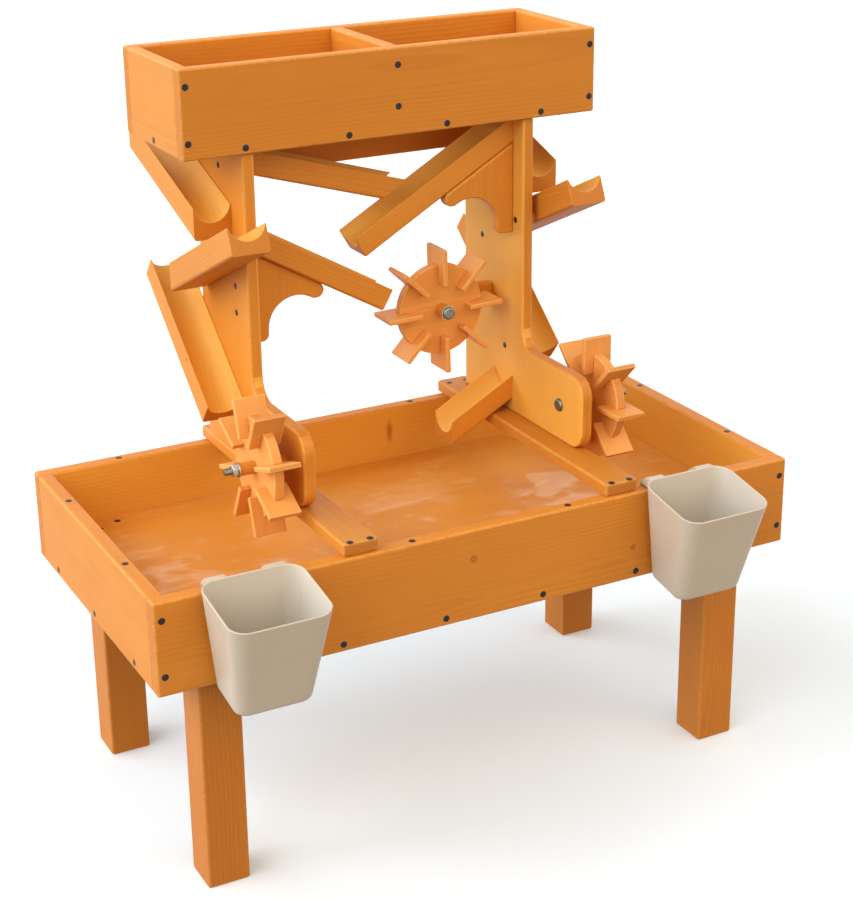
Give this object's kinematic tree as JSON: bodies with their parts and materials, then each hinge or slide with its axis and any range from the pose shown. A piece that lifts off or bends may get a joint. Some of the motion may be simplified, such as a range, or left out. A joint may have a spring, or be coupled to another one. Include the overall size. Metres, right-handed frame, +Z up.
{
  "type": "water table",
  "caption": "Wooden water play table: a tray on four legs, a tower of grooved troughs and paddle wheels under a divided header box, and two hook-on buckets.",
  "frame": {"origin": "on the ground under the middle of the whole object's outline", "axes": "+Z up, +X to the right along the front, +Y from the front, where the buckets hang, to the back"},
  "size_m": [0.808, 0.5862, 0.8659],
  "materials": {
    "board_wood": "clear amber lacquer",
    "frame_wood": "clear amber lacquer",
    "trough_wood": "clear amber lacquer",
    "wheel_wood": "clear amber lacquer",
    "spacer_wood": "plain",
    "axle_steel": "zinc plated",
    "screw_metal": "black phosphate",
    "bucket_plastic": "satin"
  },
  "bodies": {
    "table": {"tray_front_board": "board_wood", "tray_back_board": "board_wood", "tray_left_board": "board_wood", "tray_right_board": "board_wood", "tray_floor": "board_wood", "floor_cleats": "frame_wood", "leg_front_left": "frame_wood", "leg_front_right": "frame_wood", "leg_back_left": "frame_wood", "leg_back_right": "frame_wood", "plank_left": "frame_wood", "plank_right": "frame_wood", "upright_left": "frame_wood", "upright_right": "frame_wood", "back_rail": "frame_wood", "header_front_board": "board_wood", "header_back_board": "board_wood", "header_left_board": "board_wood", "header_right_board": "board_wood", "header_divider": "board_wood", "header_floor": "board_wood", "upper_trough_left": "trough_wood", "upper_trough_right": "trough_wood", "middle_trough_left": "trough_wood", "middle_trough_right": "trough_wood", "lower_trough_left": "trough_wood", "lower_trough_right": "trough_wood", "right_trough_spacers": "spacer_wood", "first_inner_trough": "trough_wood", "second_inner_trough": "trough_wood", "third_inner_trough": "trough_wood", "foot_trough": "trough_wood", "bracket_left": "frame_wood", "bracket_right": "frame_wood", "wheel_arm": "frame_wood", "left_axle_bolt": "axle_steel", "left_axle_spacers": "spacer_wood", "left_axle_washer": "axle_steel", "left_axle_nut": "axle_steel", "right_axle_bolt": "axle_steel", "right_axle_spacers": "spacer_wood", "right_axle_washer": "axle_steel", "right_axle_nut": "axle_steel", "middle_axle_bolt": "axle_steel", "middle_axle_spacers": "spacer_wood", "middle_axle_washer": "axle_steel", "middle_axle_nut": "axle_steel", "tray_screws": "screw_metal", "floor_screws": "screw_metal", "plank_screws": "screw_metal", "header_screws": "screw_metal", "tower_screws": "screw_metal"},
    "left_wheel": {"left_wheel_disc": "wheel_wood", "left_wheel_paddles": "wheel_wood"},
    "right_wheel": {"right_wheel_disc": "wheel_wood", "right_wheel_paddles": "wheel_wood"},
    "middle_wheel": {"middle_wheel_disc": "wheel_wood", "middle_wheel_paddles": "wheel_wood"},
    "left_bucket_body": {"left_bucket": "bucket_plastic"},
    "right_bucket_body": {"right_bucket": "bucket_plastic"}
  },
  "joints": [
    {"name": "left_wheel_spin", "type": "hinge", "parent": "table", "child": "left_wheel", "pos_m": [-0.2165, -0.03787, 0.4305], "axis": [1, 0, 0], "continuous": true},
    {"name": "right_wheel_spin", "type": "hinge", "parent": "table", "child": "right_wheel", "pos_m": [0.2295, -0.03787, 0.4305], "axis": [1, 0, 0], "continuous": true},
    {"name": "middle_wheel_spin", "type": "hinge", "parent": "table", "child": "middle_wheel", "pos_m": [0.0855, 0.09713, 0.5309], "axis": [0, 1, 0], "continuous": true},
    {"name": "left_bucket_lift", "type": "slide", "parent": "table", "child": "left_bucket_body", "axis": [0, 0, 1], "range_m": [0, 0.15]},
    {"name": "right_bucket_lift", "type": "slide", "parent": "table", "child": "right_bucket_body", "axis": [0, 0, 1], "range_m": [0, 0.15]}
  ]
}
